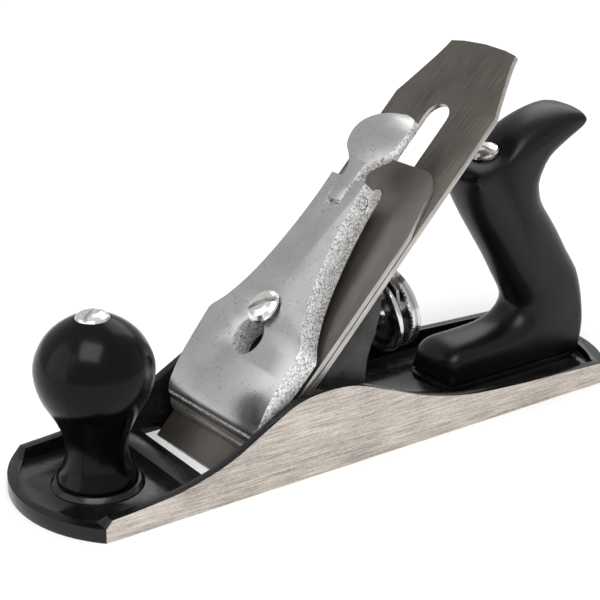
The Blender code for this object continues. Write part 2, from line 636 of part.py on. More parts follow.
def make_cap_iron(frame, shift, cap_steel, bright_steel):
    half = IRON_WIDTH / 2 - 0.0001
    low = SEAT_GAP
    edge = CAP_IRON_EDGE_S
    top = CAP_TOP_H
    upper = smooth_path([
        (edge, low + 0.0002), (edge + 0.0012, 0.0032), (edge + 0.0035, HUMP_HEIGHT - 0.0005),
        (edge + 0.0067, HUMP_HEIGHT), (edge + 0.0112, HUMP_HEIGHT - 0.0008),
        (edge + 0.0175, top + 0.0009), (edge + 0.025, top)], 3)
    under = smooth_path([
        (edge + 0.026, low), (edge + 0.0185, low + 0.0007), (edge + 0.0122, HUMP_HEIGHT - 0.0028),
        (edge + 0.0070, HUMP_HEIGHT - 0.0021), (edge + 0.0042, HUMP_HEIGHT - 0.0026),
        (edge + 0.0026, 0.0016), (edge + 0.0016, low)], 3)
    side = upper + [(CAP_IRON_TOP_S, top), (CAP_IRON_TOP_S, low)] + under
    mesh = prism(side, -half, half, 'XZ')
    mesh.transform(shift)
    cap_iron = make_object("cap_iron", mesh, cap_steel, frame)
    knots = [(0.0995, half), (0.107, half - 0.0014), (0.1145, half - 0.0030), (0.1195, half - 0.0052),
             (0.1225, half - 0.0080), (CAP_IRON_TOP_S - 0.0002, half - 0.0105)]
    right = [(edge - CUT_OVER, half + CUT_OVER), (0.0985, half + CUT_OVER)] + smooth_path(knots, 4)
    plan = right + [(s, -y) for s, y in reversed(right)]
    mask = prism(plan, -CUT_OVER, 0.010, 'XY')
    mask.transform(shift)
    keep_inside(cap_iron, "guide_cap_iron_plan", mask)
    pin_x, _, pin_z = yoke_pin_point()
    nib_s, _ = world_to_bed(pin_x, pin_z)
    openings = (
        ("cut_cap_iron_slot", rounded_slot(0.0515, 0.0585, 0.0046)),
        ("cut_cap_iron_yoke_slot", [(nib_s - 0.0027, -0.0050), (nib_s + 0.0027, -0.0050),
                                    (nib_s + 0.0027, 0.0050), (nib_s - 0.0027, 0.0050)]),
        ("cut_cap_iron_screw_hole", arc((CAP_SCREW_S, 0), 0.0029 + RUNNING_GAP, 0,
                                        math.tau * 23 / 24, 23)))
    for name, outline in openings:
        cutter = prism(outline, -0.004, 0.010, 'XY')
        cutter.transform(shift)
        cut(cap_iron, name, cutter)
    head = -IRON_THICKNESS - SEAT_GAP
    place = shift @ Matrix.Translation((CAP_SCREW_S, 0, 0))
    screw = lathe([(0, head - 0.0022), (0.0066, head - 0.0022), (0.0072, head - 0.0016),
                   (0.0072, head), (0.0029, head), (0.0029, CAP_TOP_H), (0, CAP_TOP_H)], 32, place)
    item = make_object("cap_iron_screw", screw, bright_steel, frame)
    notch = box((CAP_SCREW_S - 0.009, -0.0008, head - 0.004), (CAP_SCREW_S + 0.009, 0.0008, head - 0.0012))
    notch.transform(shift)
    cut(item, "cut_cap_iron_screw_notch", notch)


def make_lever_cap(chrome):
    frame = make_empty("lever_cap_set", skewed_matrix(LEVER_CAP_SCREW_S))
    shift = Matrix.Translation((-LEVER_CAP_SCREW_S, 0, 0))
    lip = LEVER_CAP_LIP_S
    top = LEVER_CAP_TOP_S
    face = smooth_path([(lip, 0.0066), (lip + 0.0015, 0.0083), (0.0205, 0.0100), (0.030, 0.0122),
                        (0.050, 0.0140), (0.078, 0.0155), (top, 0.0170)], 3)
    under = smooth_path([(top, 0.0076), (0.075, 0.0057), (0.050, 0.0045), (0.036, 0.0044),
                         (0.0265, 0.0056), (lip + 0.004, 0.0059), (lip + 0.0006, 0.0060)], 3)
    half = LEVER_CAP_WIDTH / 2
    mesh = prism(face + under, -half - CUT_OVER, half + CUT_OVER, 'XZ')
    mesh.transform(shift)
    cap = make_object("lever_cap", mesh, chrome, frame)
    tip = LEVER_CAP_TOP_WIDTH / 2
    shoulder = LEVER_CAP_SHOULDER_S
    flank = smooth_path([
        (shoulder, half), (shoulder + 0.0022, half - 0.0014), (shoulder + 0.0060, half - 0.0045),
        (shoulder + 0.0145, half - 0.0088), (shoulder + 0.025, half - 0.0121),
        (shoulder + 0.038, tip + 0.0020), (shoulder + 0.050, tip + 0.0005), (top, tip)], 4)
    right = [(lip - CUT_OVER, half)] + flank + [(top + CUT_OVER, tip)]
    plan = right + [(s, -y) for s, y in reversed(right)]
    mask = prism(plan, -CUT_OVER, 0.030, 'XY')
    mask.transform(shift)
    keep_inside(cap, "guide_lever_cap_plan", mask)
    screw = LEVER_CAP_SCREW_S
    narrow = LEVER_CAP_SCREW_RADIUS + RUNNING_GAP
    eye = screw - KEYHOLE_TRAVEL
    lean = math.asin(narrow / KEYHOLE_RADIUS)
    keyhole = arc((eye, 0), KEYHOLE_RADIUS, lean, math.tau - lean, 24)
    keyhole += arc((screw, 0), narrow, -math.pi / 2, math.pi / 2, 10)
    hole = prism(keyhole, -CUT_OVER, 0.030, 'XY')
    hole.transform(shift)
    cut(cap, "cut_keyhole", hole)
    well = box((0.0915, -CAM_WIDTH / 2 - SEAT_GAP, -CUT_OVER),
               (top + CUT_OVER, CAM_WIDTH / 2 + SEAT_GAP, 0.0132))
    well.transform(shift)
    cut(cap, "cut_cam_well", well)
    groove = box((CAM_SLOT_S, -CAM_WIDTH / 2 - SEAT_GAP, 0.012),
                 (top + CUT_OVER, CAM_WIDTH / 2 + SEAT_GAP, 0.030))
    groove.transform(shift)
    cut(cap, "cut_cam_slot", groove)
    bore = rod(CAM_PIN_RADIUS + RUNNING_GAP, (CAM_PIN_S, -0.012, CAM_PIN_H),
               (CAM_PIN_S, 0.012, CAM_PIN_H), 20)
    bore.transform(shift)
    cut(cap, "cut_cam_pin_bore", bore)
    rivet = rod(RIVET_RADIUS + RUNNING_GAP, (RIVET_S, 0, 0.001), (RIVET_S, 0, 0.0098), 16)
    rivet.transform(shift)
    cut(cap, "cut_rivet_hole", rivet)
    return frame, shift


def make_lever_cap_spring(frame, shift, spring_steel, bright_steel):
    seat = 0.0059 - SEAT_GAP
    leaf = 0.0007
    over = smooth_path([(0.0725, seat - 0.0004), (0.079, seat - 0.0001), (0.0835, seat - 0.0003),
                        (0.0885, 0.0046), (0.094, 0.0041), (0.1015, 0.0041)], 3)
    below = [(s, h - leaf) for s, h in reversed(over)]
    mesh = prism(over + below, -0.0030, 0.0030, 'XZ')
    mesh.transform(shift)
    spring = make_object("lever_cap_spring", mesh, spring_steel, frame)
    hole = rod(RIVET_RADIUS + RUNNING_GAP, (RIVET_S, 0, 0.002), (RIVET_S, 0, 0.009), 16)
    hole.transform(shift)
    cut(spring, "cut_spring_hole", hole)
    head = seat - leaf - 0.0001 - SEAT_GAP
    place = shift @ Matrix.Translation((RIVET_S, 0, 0))
    rivet = lathe([(0, head - 0.0009), (0.0022, head - 0.0009), (0.0027, head - 0.0004), (0.0027, head),
                   (RIVET_RADIUS, head), (RIVET_RADIUS, 0.0093), (0, 0.0093)], 20, place)
    make_object("lever_cap_spring_rivet", rivet, bright_steel, frame)


def make_cam_lever(frame, shift, chrome, bright_steel):
    """The cam disc, its neck in the slot and the thumb pad beyond the lever cap's end."""
    to_pin = Matrix.Translation((-CAM_PIN_S, 0, -CAM_PIN_H))
    place = shift @ Matrix.Translation((CAM_PIN_S, 0, CAM_PIN_H))
    half = CAM_WIDTH / 2
    disc = rod(0.0056, (0, -half, -0.0023), (0, half, -0.0023), 32)
    cam = make_object("cam_lever", disc, chrome, frame)
    cam.matrix_basis = place
    neck = [(0.0985, 0.0105), (0.1045, 0.0105), (0.1100, 0.0132), (0.1160, 0.0142),
            (0.1160, 0.0173), (0.1100, 0.0174), (0.1040, 0.0172), (0.0985, 0.0169)]
    neck_mesh = prism(neck, -half, half, 'XZ')
    neck_mesh.transform(to_pin)
    add(cam, "form_cam_neck", neck_mesh)
    over = smooth_path([(0.1087, 0.0172), (0.113, 0.0173), (0.120, 0.0176), (0.127, 0.0170),
                        (0.133, 0.0146), (0.1375, 0.0112)], 3)
    under = smooth_path([(0.1360, 0.0094), (0.1315, 0.0122), (0.126, 0.0140), (0.120, 0.0145),
                         (0.113, 0.0143), (0.1087, 0.0143)], 3)
    pad = prism(over + under, -0.0125, 0.0125, 'XZ')
    pad.transform(to_pin)
    outline = smooth_path([
        (0.1090, 0.0031), (0.1120, 0.0042), (0.1148, 0.0066), (0.1180, 0.0102), (0.1225, 0.0119),
        (0.1275, 0.0118), (0.1320, 0.0099), (0.1355, 0.0062), (0.1372, 0.0)], 4)
    shape = outline + [(s, -y) for s, y in reversed(outline[:-1])]
    mask = prism(shape, 0.005, 0.025, 'XY')
    mask.transform(to_pin)
    trimmed = make_object("form_cam_pad", pad, parent=frame)
    trimmed.matrix_basis = place
    trimmed.hide_render = True
    trimmed.display_type = 'WIRE'
    keep_inside(trimmed, "guide_cam_pad_plan", mask)
    union = cam.modifiers.new("form_cam_pad", 'BOOLEAN')
    union.operation = 'UNION'
    union.solver = 'EXACT'
    union.object = trimmed
    cut(cam, "cut_cam_bore", rod(CAM_PIN_RADIUS + RUNNING_GAP, (0, -0.01, 0), (0, 0.01, 0), 20))
    pin = rod(CAM_PIN_RADIUS, (CAM_PIN_S, -0.0086, CAM_PIN_H), (CAM_PIN_S, 0.0086, CAM_PIN_H), 20)
    pin.transform(shift)
    make_object("cam_pin", pin, bright_steel, frame)


def make_lever_cap_screw(bright_steel):
    base = 0.0150
    head = LEVER_CAP_SCREW_HEAD
    profile = [(0, -0.0075), (LEVER_CAP_SCREW_RADIUS, -0.0075), (LEVER_CAP_SCREW_RADIUS, base),
               (head - 0.0004, base), (head, base + 0.0005), (head - 0.0004, base + 0.0012),
               (head - 0.0016, base + 0.0021), (head - 0.0036, base + 0.0029), (0, base + 0.0029)]
    screw = make_object("lever_cap_screw", lathe(profile, 36), bright_steel)
    screw.matrix_basis = bed_matrix() @ Matrix.Translation((LEVER_CAP_SCREW_S, 0, 0))
    notch = box((-0.009, -0.0008, base + 0.0012), (0.009, 0.0008, base + 0.006))
    notch.transform(Matrix.Rotation(math.radians(-47), 4, 'Z'))
    cut(screw, "cut_lever_cap_screw_notch", notch)


def knob_profile():
    base = KNOB_PAD_HEIGHT + SEAT_GAP
    ball = KNOB_RADIUS
    top = base + KNOB_HEIGHT
    middle = top - ball + 0.0013
    knots = [(0.0131, base), (0.0131, base + 0.0012), (0.0112, base + 0.0042), (0.0102, base + 0.0082),
             (0.0101, base + 0.0126), (0.0109, base + 0.0170), (0.0133, middle - 0.0152),
             (0.0168, middle - 0.0092), (ball - 0.0007, middle - 0.0045), (ball, middle + 0.0002),
             (ball - 0.0007, middle + 0.0050), (0.0156, middle + 0.0107), (0.0115, middle + 0.0147),
             (KNOB_NUT_RADIUS + 0.0008, top)]
    return smooth_path(knots, 2), base, top


def make_knob(black_plastic, bright_steel, nickel):
    outside, base, top = knob_profile()
    bolt_bore = BOLT_RADIUS + LOOSE_GAP
    nut_bore = NUT_BARREL_RADIUS + RUNNING_GAP
    recess = KNOB_NUT_RADIUS + RUNNING_GAP
    inner = [(recess, top - 0.0001), (recess, top - 0.0022), (nut_bore, top - 0.0022),
             (nut_bore, top - 0.0150), (bolt_bore, top - 0.0150), (bolt_bore, base)]
    knob = make_object("knob", lathe(outside[:-1] + [(recess, top)] + inner[1:], 40), black_plastic)
    knob.location = (KNOB_X, 0, 0)
    bolt = rod(BOLT_RADIUS, (KNOB_X, 0, 0.0017), (KNOB_X, 0, top - 0.0062), 20)
    make_object("knob_bolt", bolt, bright_steel)
    nut = make_nut("knob_nut", nickel)
    seat = Matrix.Translation((KNOB_X, 0, top - 0.0022 + SEAT_GAP))
    place_nut(nut, seat @ Matrix.Rotation(math.radians(35), 4, 'Z'))


def make_nut(name, nickel):
    """A slotted round nut whose barrel sleeves the bolt; its seat is at local z = 0."""
    head = KNOB_NUT_RADIUS
    inner = BOLT_RADIUS + RUNNING_GAP
    profile = [(inner, -0.0120), (NUT_BARREL_RADIUS, -0.0120), (NUT_BARREL_RADIUS, 0), (head, 0),
               (head, 0.0019), (head - 0.0005, 0.0027), (head - 0.0016, 0.0034),
               (head - 0.0032, 0.0039), (0, 0.0039), (0, -0.0036), (inner, -0.0036)]
    nut = make_object(name, lathe(profile, 32), nickel)
    cut(nut, "cut_" + name + "_notch", box((-0.008, -0.0007, 0.0022), (0.008, 0.0007, 0.008)))
    return nut


def place_nut(nut, place):
    nut.matrix_basis = place
    for modifier in nut.modifiers:
        modifier.object.matrix_basis = place


def rounded_prism(outline, half, across):
    """Extrude (x, z, inset) points along Y; each point's edge rounds over by its own inset."""
    mesh_data = bmesh.new()
    steps = 5
    count = len(outline)
    normals = []
    for index in range(count):
        ahead = outline[(index + 1) % count]
        behind = outline[index - 1]
        run = Vector((ahead[0] - behind[0], ahead[1] - behind[1])).normalized()
        normals.append((run.y, -run.x))
    rings = []
    for side in (-1, 1):
        for step in sorted(range(steps + 1), key=lambda value: value * side):
            angle = math.pi / 2 * step / steps
            y = side * (half - across + across * math.sin(angle))
            ring = []
            for (x, z, inset), (nx, nz) in zip(outline, normals):
                depth = inset * (1 - math.cos(angle))
                ring.append(mesh_data.verts.new((x + nx * depth, y, z + nz * depth)))
            rings.append(ring)
    for ring, after in zip(rings, rings[1:]):
        for index in range(count):
            last = index - 1
            mesh_data.faces.new((ring[last], ring[index], after[index], after[last]))
    mesh_data.faces.new(rings[0])
    mesh_data.faces.new(rings[-1])
    return mesh_data


def tote_outline():
    """The rear handle's middle plane: foot, grip and horn, each point with its side rounding."""
    foot = TOTE_PAD_HEIGHT + SEAT_GAP
    rear = TOTE_FOOT_LENGTH
    knots = [
        (0.0015, 0, 0.0004), (0.0007, 0.0011, 0.0020), (0.0001, 0.0033, 0.0040),
        (0.0001, 0.0065, 0.0045), (0.0017, 0.0099, 0.0045), (0.0049, 0.0122, 0.0045),
        (0.0095, 0.0131, 0.0045), (0.0185, 0.0133, 0.0046), (0.0260, 0.0139, 0.0052),
        (0.0310, 0.0151, 0.0065), (0.0353, 0.0173, 0.0080), (0.0375, 0.0205, 0.0095),
        (0.0365, 0.0242, 0.0100), (0.0314, 0.0326, 0.0100), (0.0262, 0.0413, 0.0100),
        (0.0159, 0.0567, 0.0092), (0.0109, 0.0660, 0.0068), (0.0085, 0.0715, 0.0042),
        (0.0074, 0.0747, 0.0024), (0.0085, 0.0773, 0.0020), (0.0120, 0.0790, 0.0024),
        (0.0200, 0.0808, 0.0026), (0.0248, 0.0832, 0.0032), (0.0290, 0.0871, 0.0046),
        (0.0340, 0.0902, 0.0055), (0.0405, 0.0928, 0.0055), (0.0475, 0.0945, 0.0053),
        (0.0535, 0.0950, 0.0044), (0.0582, 0.0943, 0.0032), (0.0609, 0.0923, 0.0026),
        (0.0614, 0.0896, 0.0024), (0.0595, 0.0866, 0.0030), (0.0550, 0.0831, 0.0046),
        (0.0506, 0.0800, 0.0060), (0.0462, 0.0768, 0.0065), (0.0444, 0.0729, 0.0080),
        (0.0435, 0.0695, 0.0090), (0.0439, 0.0662, 0.0095), (0.0453, 0.0620, 0.0100),
        (0.0486, 0.0571, 0.0100), (0.0540, 0.0497, 0.0100), (0.0596, 0.0405, 0.0090),
        (rear - 0.0004, 0.0322, 0.0080), (rear + 0.0018, 0.0247, 0.0065),
        (rear + 0.0026, 0.0167, 0.0045), (rear + 0.0022, 0.0097, 0.0030),
        (rear + 0.0008, 0.0034, 0.0020), (rear - 0.0006, 0.0013, 0.0010), (rear - 0.0008, 0, 0.0004)]
    placed = [(TOTE_X + x, foot + z, inset) for x, z, inset in knots]
    return smooth_path(placed, 2)


def tote_seat_point():
    """Where the handle's nut sits, a little below its top along the bolt."""
    return (TOTE_NUT_X + 0.0025 * math.sin(TOTE_BOLT_TILT), 0,
            TOTE_NUT_Z - 0.0025 * math.cos(TOTE_BOLT_TILT))


def make_tote(black_plastic, bright_steel, nickel):
    half = TOTE_WIDTH / 2
    tote = make_object("tote", rounded_prism(tote_outline(), half, half - 0.0018), black_plastic)
    seat = tote_seat_point()
    axis = Vector((-math.sin(TOTE_BOLT_TILT), 0, math.cos(TOTE_BOLT_TILT)))
    place = frame_along(seat, axis)
    bore = lathe([(0, -0.100), (BOLT_RADIUS + LOOSE_GAP, -0.100), (BOLT_RADIUS + LOOSE_GAP, -0.0135),
                  (NUT_BARREL_RADIUS + RUNNING_GAP, -0.0135), (NUT_BARREL_RADIUS + RUNNING_GAP, -SEAT_GAP),
                  (KNOB_NUT_RADIUS + RUNNING_GAP, -SEAT_GAP), (KNOB_NUT_RADIUS + RUNNING_GAP, 0.010),
                  (0, 0.010)], 28, place)
    cut(tote, "cut_tote_bolt_bore", bore)
    low = tote_bolt_point(0.0021)
    high = Vector(seat) - axis * 0.0045
    make_object("tote_bolt", rod(BOLT_RADIUS, low, high, 20), bright_steel)
    place_nut(make_nut("tote_nut", nickel), place)


def build():
    clear_scene()
    casting = make_material("black_enamel_casting", (0.02, 0.02, 0.02), 0.25, 0.0)
    frog_paint = make_material("dark_cast_iron", (0.05, 0.05, 0.05), 0.4, 0.4)
    steel = make_material("plain_steel", (0.35, 0.34, 0.33), 0.4, 1.0)
    bright = make_material("bright_screw_steel", (0.6, 0.6, 0.58), 0.25, 1.0)
    iron_steel = make_material("iron_tool_steel", (0.32, 0.29, 0.27), 0.35, 1.0)
    cap_steel = make_material("cap_iron_steel", (0.28, 0.27, 0.26), 0.3, 1.0)
    chrome = make_material("chrome_plate", (0.66, 0.66, 0.65), 0.15, 1.0)
    plastic = make_material("gloss_black_plastic", (0.015, 0.015, 0.015), 0.15, 0.0)
    tote_plastic = make_material("satin_black_plastic", (0.02, 0.02, 0.02), 0.3, 0.0)
    nickel = make_material("nickel_plate", (0.68, 0.67, 0.64), 0.25, 1.0)
    make_body(casting)
    make_frog(frog_paint)
    make_frog_fasteners(steel, bright)
    make_frog_adjuster(steel, bright)
    make_yoke(steel, bright)
    make_depth_wheel(chrome, steel)
    make_iron_set(iron_steel, cap_steel, bright)
    frame, shift = make_lever_cap(chrome)
    make_lever_cap_spring(frame, shift, steel, bright)
    make_cam_lever(frame, shift, chrome, bright)
    make_lever_cap_screw(bright)
    make_knob(plastic, bright, nickel)
    make_tote(tote_plastic, bright, nickel)


build()
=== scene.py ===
import json
import math

import bmesh
import bpy
from mathutils import Matrix, Vector


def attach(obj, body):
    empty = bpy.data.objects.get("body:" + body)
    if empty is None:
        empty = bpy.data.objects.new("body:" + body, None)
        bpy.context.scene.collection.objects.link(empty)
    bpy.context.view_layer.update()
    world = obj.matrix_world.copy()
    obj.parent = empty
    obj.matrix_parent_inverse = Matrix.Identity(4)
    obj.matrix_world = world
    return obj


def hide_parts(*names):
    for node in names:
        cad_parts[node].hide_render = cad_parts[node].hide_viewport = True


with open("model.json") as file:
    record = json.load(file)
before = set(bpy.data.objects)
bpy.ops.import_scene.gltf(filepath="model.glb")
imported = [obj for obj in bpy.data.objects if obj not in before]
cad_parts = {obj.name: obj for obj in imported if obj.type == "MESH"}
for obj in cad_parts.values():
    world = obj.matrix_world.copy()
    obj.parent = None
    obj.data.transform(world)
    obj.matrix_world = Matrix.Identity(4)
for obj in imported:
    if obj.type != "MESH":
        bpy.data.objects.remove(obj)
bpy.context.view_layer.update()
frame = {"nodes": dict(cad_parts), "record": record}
nodes = frame["nodes"]
bodyOf = {}
for bodyName, members in frame["record"]["behaviour"]["bodies"].items():
    for member in members:
        bodyOf[member] = bodyName
print("frame loaded with", len(nodes), "nodes")

bedTurn = math.radians(45)  # slope of the bed that the iron lies on
offBed = Vector((-math.sin(bedTurn), 0, math.cos(bedTurn)))  # square to the bed, towards the lever cap
meshing = {"merge": 2e-6, "crease": 38}  # metres between points that are one, degrees that stay a crisp edge


# shader maths: a Wire is one socket, and expressions on wires add their Math nodes
class Wire:
    def __init__(self, tree, link):
        self.tree = tree
        self.link = link

    def node(self, kind, settings=None, values=None, out=0):
        made = self.tree.nodes.new(kind)
        for key, value in (settings or {}).items():
            setattr(made, key, value)
        for key, value in (values or {}).items():
            if isinstance(value, Wire):
                self.tree.links.new(value.link, made.inputs[key])
            else:
                made.inputs[key].default_value = value
        return Wire(self.tree, made.outputs[out])

    def math(self, operation, first, second):
        return self.node("ShaderNodeMath", {"operation": operation}, {0: first, 1: second})

    def __add__(self, other):
        return self.math("ADD", self, other)

    def __sub__(self, other):
        return self.math("SUBTRACT", self, other)

    def __rsub__(self, other):
        return self.math("SUBTRACT", other, self)

    def __mul__(self, other):
        return self.math("MULTIPLY", self, other)

    __radd__ = __add__
    __rmul__ = __mul__

    def spread(self, low, high, toLow=0.0, toHigh=1.0):
        return self.node("ShaderNodeMapRange", {}, {0: self, 1: low, 2: high, 3: toLow, 4: toHigh})

    def between(self, dark, light):
        return self.node("ShaderNodeMix", {"data_type": "RGBA"}, {0: self, 6: dark, 7: light}, 2)

    def noise(self, scale, detail=3.0, rough=0.55):
        values = {"Vector": self, "Scale": scale, "Detail": detail, "Roughness": rough}
        return self.node("ShaderNodeTexNoise", {}, values)

    def mapped(self, scale=(1, 1, 1), turn=(0, 0, 0)):
        return self.node("ShaderNodeMapping", {}, {"Vector": self, "Rotation": turn, "Scale": scale})

    def axis(self, index):
        return self.node("ShaderNodeSeparateXYZ", {}, {0: self}, index)


def startMaterial(name):
    material = bpy.data.materials.new(name)
    material.use_nodes = True
    tree = material.node_tree
    place = Wire(tree, tree.nodes.new("ShaderNodeTexCoord").outputs["Object"])
    return material, place, tree.nodes["Principled BSDF"]


def finishMaterial(material, shader, varying, fixed, height=None, bump=0.2, depth=0.0002):
    tree = material.node_tree
    for key, wire in varying.items():
        tree.links.new(wire.link, shader.inputs[key])
    for key, value in fixed.items():
        shader.inputs[key].default_value = value
    if height is not None:
        values = {"Strength": bump, "Distance": depth, "Height": height}
        tree.links.new(height.node("ShaderNodeBump", {}, values).link, shader.inputs["Normal"])
    return material


def grey(level, warm=0.0):
    return (level * (1 + warm), level, level * (1 - warm), 1)


# in each look, rough is the span of roughness, and bump and depth are the relief's strength and height
def groundIron():
    look = {"dark": grey(0.25, 0.12), "light": grey(0.66, 0.10), "contrast": (0.40, 0.60),
            "rough": (0.36, 0.56), "streaks": (60, 2300, 2300), "cross": (900, 900, 2600), "patches": 45,
            "metallic": 0.55, "bump": 0.35, "depth": 0.00012}
    material, place, shader = startMaterial("groundIron")
    streaks = place.mapped(look["streaks"]).noise(1.0, 4.0, 0.65)
    cross = place.mapped(look["cross"]).noise(1.0, 3.0, 0.7)
    patches = place.noise(look["patches"], 3.0)
    tone = streaks * 0.55 + cross * 0.27 + patches * 0.18
    varying = {"Base Color": tone.spread(*look["contrast"]).between(look["dark"], look["light"]),
               "Roughness": streaks.spread(0.3, 0.7, *look["rough"])}
    fixed = {"Metallic": look["metallic"]}
    relief = streaks + cross * 0.6
    return finishMaterial(material, shader, varying, fixed, relief, look["bump"], look["depth"])


def blackEnamel():
    look = {"dark": grey(0.003), "light": grey(0.010, 0.05), "contrast": (0.42, 0.75),
            "rough": (0.16, 0.33), "peel": 420, "dust": 70, "bump": 0.12, "depth": 0.0003,
            "coat": 0.05, "coatRough": 0.12, "specular": 0.27}
    material, place, shader = startMaterial("blackEnamel")
    peel = place.noise(look["peel"], 2.0)
    dust = place.noise(look["dust"], 5.0, 0.7)
    varying = {"Base Color": dust.spread(*look["contrast"]).between(look["dark"], look["light"]),
               "Roughness": (peel * 0.5 + dust * 0.5).spread(0.35, 0.7, *look["rough"])}
    fixed = {"Coat Weight": look["coat"], "Coat Roughness": look["coatRough"],
             "Specular IOR Level": look["specular"]}
    return finishMaterial(material, shader, varying, fixed, peel, look["bump"], look["depth"])


def castFrog():
    look = {"dark": grey(0.012, 0.03), "light": grey(0.045, 0.05), "contrast": (0.38, 0.64),
            "rough": (0.34, 0.54), "sand": 1100, "patches": 130,
            "metallic": 0.2, "bump": 0.25, "depth": 0.00015}
    material, place, shader = startMaterial("castFrog")
    sand = place.noise(look["sand"], 4.0, 0.7)
    patches = place.noise(look["patches"], 3.0)
    tone = sand * 0.4 + patches * 0.6
    varying = {"Base Color": tone.spread(*look["contrast"]).between(look["dark"], look["light"]),
               "Roughness": sand.spread(0.3, 0.7, *look["rough"])}
    fixed = {"Metallic": look["metallic"]}
    return finishMaterial(material, shader, varying, fixed, sand, look["bump"], look["depth"])


def polishedPlate(name, level, warm, roughness, pits=1.0):
    look = {"cloud": 60, "fine": 2200, "specks": 1500, "rare": (0.70, 0.76), "bump": 0.06, "depth": 0.0001}
    material, place, shader = startMaterial(name)
    cloud = place.noise(look["cloud"], 3.0)
    fine = place.noise(look["fine"], 2.0)
    specks = place.noise(look["specks"], 1.0, 0.3).spread(*look["rare"]) * pits
    tone = (cloud * 0.7 + fine * 0.3).spread(0.35, 0.65)
    plain = tone.between(grey(level * 0.9, warm), grey(level * 1.08, warm))
    varying = {"Base Color": specks.between(plain, grey(level * 0.25, warm)),
               "Roughness": cloud.spread(0.3, 0.7, roughness * 0.8, roughness * 1.25) + specks * 0.2}
    fixed = {"Metallic": 1.0}
    return finishMaterial(material, shader, varying, fixed, fine - specks, look["bump"], look["depth"])


def roughPlate():
    look = {"dark": grey(0.16, 0.02), "light": grey(1.0), "contrast": (0.40, 0.56), "rough": (0.22, 0.5),
            "grain": 1150, "drag": (2600, 500, 2600), "metallic": 0.45, "bump": 0.6, "depth": 0.0003}
    material, place, shader = startMaterial("roughPlate")
    grain = place.noise(look["grain"], 4.0, 0.8)
    drag = place.mapped(look["drag"]).noise(1.0, 2.0)
    tone = grain * 0.7 + drag * 0.3
    varying = {"Base Color": tone.spread(*look["contrast"]).between(look["dark"], look["light"]),
               "Roughness": grain.spread(0.3, 0.7, *look["rough"])}
    fixed = {"Metallic": look["metallic"]}
    return finishMaterial(material, shader, varying, fixed, tone, look["bump"], look["depth"])


def brushedSteel(name, dark, light, warm, roughness, paintedShadeSpan=None):
    # the span, share and level below paint shade low on a slope and light higher up it, not the steel's own
    # colour
    look = {"lines": (60, 2400, 900), "patches": 55, "metallic": 0.8, "bump": 0.16, "depth": 0.0001,
            "paintedLightShare": 0.75, "paintedLightLevel": 1.5}
    material, place, shader = startMaterial(name)
    onBed = place.mapped(turn=(0, bedTurn, 0))
    brushed = onBed.mapped(look["lines"]).noise(1.0, 4.0, 0.65)
    patches = place.noise(look["patches"], 4.0, 0.6)
    tone = (brushed * 0.65 + patches * 0.35).spread(0.36, 0.64)
    colour = tone.between(grey(dark, warm), grey(light, warm))
    if paintedShadeSpan:  # painted shade and painted light: darker low on the slope and paler up it, from the first of the two sums of x and z to the second
        paintedLightUp = (place.axis(0) + place.axis(2)).spread(*paintedShadeSpan)
        colour = (paintedLightUp * look["paintedLightShare"]).between(colour, grey(light * look["paintedLightLevel"], warm))
    varying = {"Base Color": colour,
               "Roughness": brushed.spread(0.3, 0.7, roughness * 0.82, roughness * 1.2)}
    fixed = {"Metallic": look["metallic"]}
    return finishMaterial(material, shader, varying, fixed, brushed, look["bump"], look["depth"])


def turnedSteel(name, level, warm, roughness):
    look = {"marks": (700, 700, 5200), "stains": 260, "bump": 0.1, "depth": 0.0001}
    material, place, shader = startMaterial(name)
    marks = place.mapped(look["marks"]).noise(1.0, 3.0)
    stains = place.noise(look["stains"], 4.0, 0.6)
    tone = (marks * 0.55 + stains * 0.45).spread(0.34, 0.66)
    varying = {"Base Color": tone.between(grey(level * 0.72, warm), grey(level * 1.15, warm)),
               "Roughness": stains.spread(0.3, 0.7, roughness * 0.75, roughness * 1.3)}
    return finishMaterial(material, shader, varying, {"Metallic": 1.0}, marks, look["bump"], look["depth"])


def blackMoulding(name, level, rough, specular, grainScale, bump):
    look = {"flow": 38, "depth": 0.0002}
    material, place, shader = startMaterial(name)
    grain = place.noise(grainScale, 3.0, 0.6)
    flow = place.noise(look["flow"], 3.0)
    tone = (flow * 0.7 + grain * 0.3).spread(0.36, 0.64)
    varying = {"Base Color": tone.between(grey(level * 0.65), grey(level * 1.5, 0.03)),
               "Roughness": (flow * 0.5 + grain * 0.5).spread(0.35, 0.65, *rough)}
    fixed = {"Specular IOR Level": specular}
    return finishMaterial(material, shader, varying, fixed, grain, bump, look["depth"])


finishes = {
    "groundIron": groundIron(),
    "blackEnamel": blackEnamel(),
    "castFrog": castFrog(),
    "polishedCap": polishedPlate("polishedCap", 0.50, 0.006, 0.30),
    "polishedWheel": polishedPlate("polishedWheel", 0.70, 0.01, 0.16, 0.3),
    "roughPlate": roughPlate(),
    "toolSteel": brushedSteel("toolSteel", 0.060, 0.135, 0.13, 0.40),
    "bevelSteel": brushedSteel("bevelSteel", 0.34, 0.52, 0.05, 0.3),
    # the breaker gets painted shade low on its slope, where the cam's pad darkens it, and painted light
    # higher up
    "capSteel": brushedSteel("capSteel", 0.060, 0.115, 0.10, 0.38, (0.02, 0.10)),
    "springSteel": turnedSteel("springSteel", 0.30, 0.02, 0.35),
    "brightSteel": turnedSteel("brightSteel", 0.62, 0.01, 0.24),
    "knobNickel": turnedSteel("knobNickel", 0.80, 0.02, 0.22),
    "glossBlack": blackMoulding("glossBlack", 0.002, (0.15, 0.22), 0.14, 900, 0.02),
    "satinBlack": blackMoulding("satinBlack", 0.004, (0.26, 0.36), 0.22, 1300, 0.08),
}
print("finishes made:", len(finishes))


